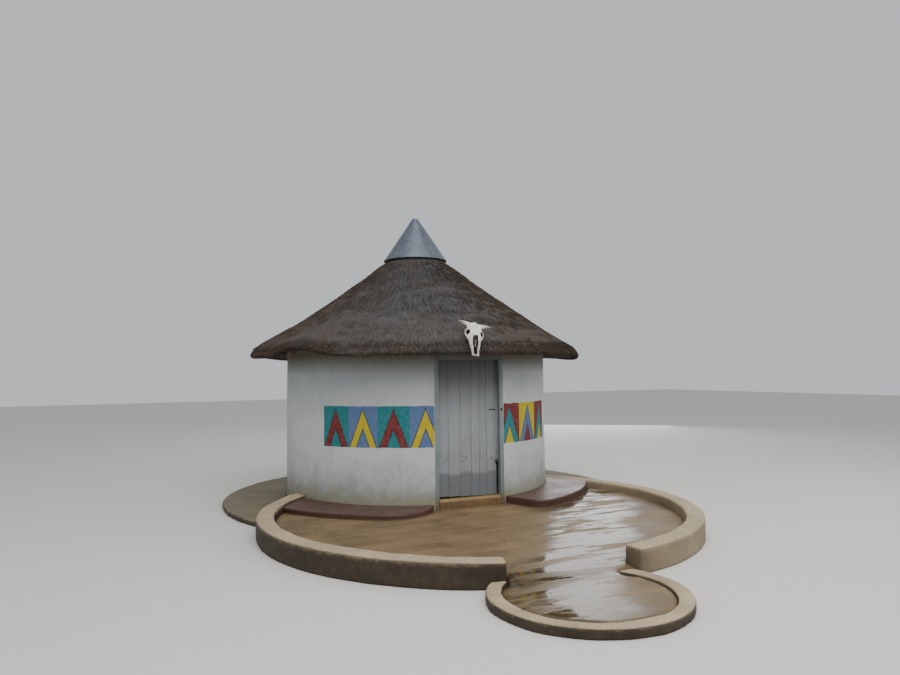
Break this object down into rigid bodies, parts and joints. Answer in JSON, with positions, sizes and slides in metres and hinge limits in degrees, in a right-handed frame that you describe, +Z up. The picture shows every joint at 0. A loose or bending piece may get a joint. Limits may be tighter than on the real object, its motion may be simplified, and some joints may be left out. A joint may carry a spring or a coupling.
{
  "type": "thatched rondavel hut",
  "caption": "Round plastered hut with a conical thatched roof, sheet-metal cap, plank door, wall benches, kerbed stoep and round landing step.",
  "frame": {"origin": "centre of the round hut at ground level, on the underside of its floor", "axes": "+Z up; -Y out of the door, towards the stoep; +X to the right of someone facing the door"},
  "size_m": [5.7998, 8.865, 4.1673],
  "materials": {
    "lime_plaster": "matte limewashed plaster",
    "screed": "worn cement screed",
    "ochre_screed": "worn ochre cement",
    "concrete": "damp cast cement",
    "red_stoep_polish": "oxide red floor polish",
    "apron_concrete": "weathered cement",
    "olive_paint": "weathered oil paint on timber",
    "blue_grey_paint": "weathered oil paint on timber",
    "black_iron": "rusty forged iron",
    "sawn_timber": "rough sawn",
    "gum_pole": "peeled pole",
    "gum_lath": "split sapling",
    "thatching_grass": "weathered combed grass",
    "bitumen_felt": "black felt",
    "galvanised_sheet": "dull galvanised",
    "bone": "bleached bone"
  },
  "bodies": {
    "root": {"wall_front_left": "lime_plaster", "wall_left": "lime_plaster", "wall_back_left": "lime_plaster", "wall_back": "lime_plaster", "wall_back_right": "lime_plaster", "wall_right": "lime_plaster", "wall_front_right": "lime_plaster", "wall_over_door": "lime_plaster", "hut_floor": "screed", "door_threshold": "ochre_screed", "stoep_floor": "concrete", "stoep_kerb_left": "concrete", "stoep_kerb_right": "concrete", "landing_floor": "concrete", "landing_rim": "concrete", "bench_left": "red_stoep_polish", "bench_right": "red_stoep_polish", "apron_left": "apron_concrete", "apron_back": "apron_concrete", "apron_right": "apron_concrete", "frame_left_jamb": "olive_paint", "frame_right_jamb": "olive_paint", "frame_head": "olive_paint", "hinge_plates": "black_iron", "jamb_staple": "black_iron", "wall_plate": "sawn_timber", "rafters_front": "gum_pole", "rafters_right": "gum_pole", "rafters_back": "gum_pole", "rafters_left": "gum_pole", "laths_lower": "gum_lath", "laths_upper": "gum_lath", "apex_post": "gum_pole", "thatch": "thatching_grass", "cap_skirt": "bitumen_felt", "roof_cap": "galvanised_sheet", "cattle_skull": "bone"},
    "door": {"door_boards": "blue_grey_paint", "door_ledges": "blue_grey_paint", "door_braces": "blue_grey_paint", "hinge_straps": "black_iron", "door_hasp": "black_iron"}
  },
  "joints": [
    {"name": "door_swing", "type": "hinge", "parent": "root", "child": "door", "pos_m": [-0.4425, -1.71958, 1.127], "axis": [0, 0, 1], "range_deg": [0, 90]}
  ]
}
